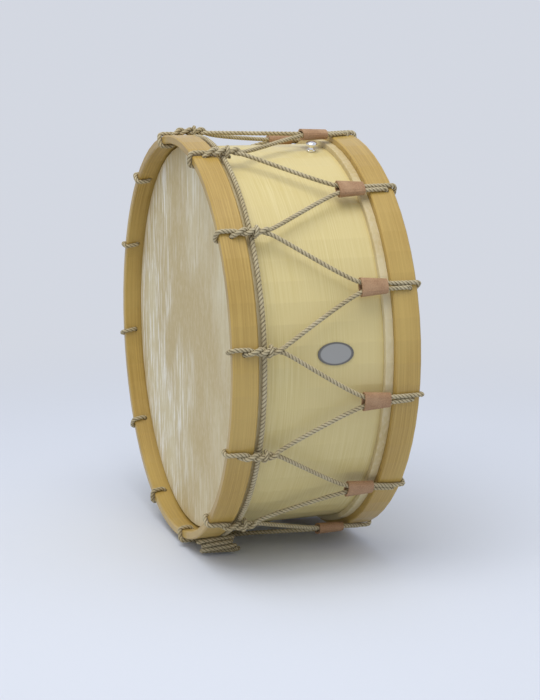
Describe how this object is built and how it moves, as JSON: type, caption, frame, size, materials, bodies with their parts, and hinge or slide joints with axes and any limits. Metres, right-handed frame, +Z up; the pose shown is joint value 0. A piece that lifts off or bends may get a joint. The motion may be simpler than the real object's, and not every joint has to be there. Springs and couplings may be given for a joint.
{
  "type": "galician bass drum",
  "caption": "Shallow bass drum with goatskin heads, bent wood counter hoops and zigzag cord lacing tightened by leather slides.",
  "frame": {"origin": "centre of the bounding box on the floor plane", "axes": "+Z up, X along the drum's axis, the front head faces -X"},
  "size_m": [0.2372, 0.5182, 0.5156],
  "materials": {
    "shell_wood": "satin varnish",
    "hoop_wood": "satin varnish",
    "goatskin": "dry rawhide",
    "cord": "twisted hemp",
    "leather": "matt",
    "chrome": "polished",
    "plate_metal": "satin"
  },
  "bodies": {
    "drum": {"shell": "shell_wood", "head_front": "goatskin", "head_rear": "goatskin", "flesh_hoop_front": "hoop_wood", "flesh_hoop_rear": "hoop_wood", "counter_hoop_front": "hoop_wood", "counter_hoop_rear": "hoop_wood", "collar_cord": "cord", "spare_cord_end": "cord", "strap_button": "chrome", "strap_button_screw": "chrome", "oval_plate": "plate_metal", "tension_cord_01": "cord", "tension_cord_02": "cord", "tension_cord_03": "cord", "tension_cord_04": "cord", "tension_cord_05": "cord", "tension_cord_06": "cord", "tension_cord_07": "cord", "tension_cord_08": "cord", "tension_cord_09": "cord", "tension_cord_10": "cord", "tension_cord_11": "cord", "tension_cord_12": "cord"},
    "slide_01": {"leather_slide_01": "leather"},
    "slide_02": {"leather_slide_02": "leather"},
    "slide_03": {"leather_slide_03": "leather"},
    "slide_04": {"leather_slide_04": "leather"},
    "slide_05": {"leather_slide_05": "leather"},
    "slide_06": {"leather_slide_06": "leather"},
    "slide_07": {"leather_slide_07": "leather"},
    "slide_08": {"leather_slide_08": "leather"},
    "slide_09": {"leather_slide_09": "leather"},
    "slide_10": {"leather_slide_10": "leather"},
    "slide_11": {"leather_slide_11": "leather"},
    "slide_12": {"leather_slide_12": "leather"}
  },
  "joints": [
    {"name": "slide_01_tension", "type": "slide", "parent": "drum", "child": "slide_01", "axis": [-1, 0, 0], "range_m": [-0.006, 0.045], "deforming": ["tension_cord_01", "tension_cord_02"]},
    {"name": "slide_02_tension", "type": "slide", "parent": "drum", "child": "slide_02", "axis": [-1, 0, 0], "range_m": [-0.006, 0.045], "deforming": ["tension_cord_02", "tension_cord_03"]},
    {"name": "slide_03_tension", "type": "slide", "parent": "drum", "child": "slide_03", "axis": [-1, 0, 0], "range_m": [-0.006, 0.045], "deforming": ["tension_cord_03", "tension_cord_04"]},
    {"name": "slide_04_tension", "type": "slide", "parent": "drum", "child": "slide_04", "axis": [-1, 0, 0], "range_m": [-0.006, 0.045], "deforming": ["tension_cord_04", "tension_cord_05"]},
    {"name": "slide_05_tension", "type": "slide", "parent": "drum", "child": "slide_05", "axis": [-1, 0, 0], "range_m": [-0.006, 0.045], "deforming": ["tension_cord_05", "tension_cord_06"]},
    {"name": "slide_06_tension", "type": "slide", "parent": "drum", "child": "slide_06", "axis": [-1, 0, 0], "range_m": [-0.006, 0.045], "deforming": ["tension_cord_06", "tension_cord_07"]},
    {"name": "slide_07_tension", "type": "slide", "parent": "drum", "child": "slide_07", "axis": [-1, 0, 0], "range_m": [-0.006, 0.045], "deforming": ["tension_cord_07", "tension_cord_08"]},
    {"name": "slide_08_tension", "type": "slide", "parent": "drum", "child": "slide_08", "axis": [-1, 0, 0], "range_m": [-0.006, 0.045], "deforming": ["tension_cord_08", "tension_cord_09"]},
    {"name": "slide_09_tension", "type": "slide", "parent": "drum", "child": "slide_09", "axis": [-1, 0, 0], "range_m": [-0.006, 0.045], "deforming": ["tension_cord_09", "tension_cord_10"]},
    {"name": "slide_10_tension", "type": "slide", "parent": "drum", "child": "slide_10", "axis": [-1, 0, 0], "range_m": [-0.006, 0.045], "deforming": ["tension_cord_10", "tension_cord_11"]},
    {"name": "slide_11_tension", "type": "slide", "parent": "drum", "child": "slide_11", "axis": [-1, 0, 0], "range_m": [-0.006, 0.045], "deforming": ["tension_cord_11", "tension_cord_12"]},
    {"name": "slide_12_tension", "type": "slide", "parent": "drum", "child": "slide_12", "axis": [-1, 0, 0], "range_m": [-0.006, 0.045], "deforming": ["tension_cord_12", "tension_cord_01"]}
  ]
}
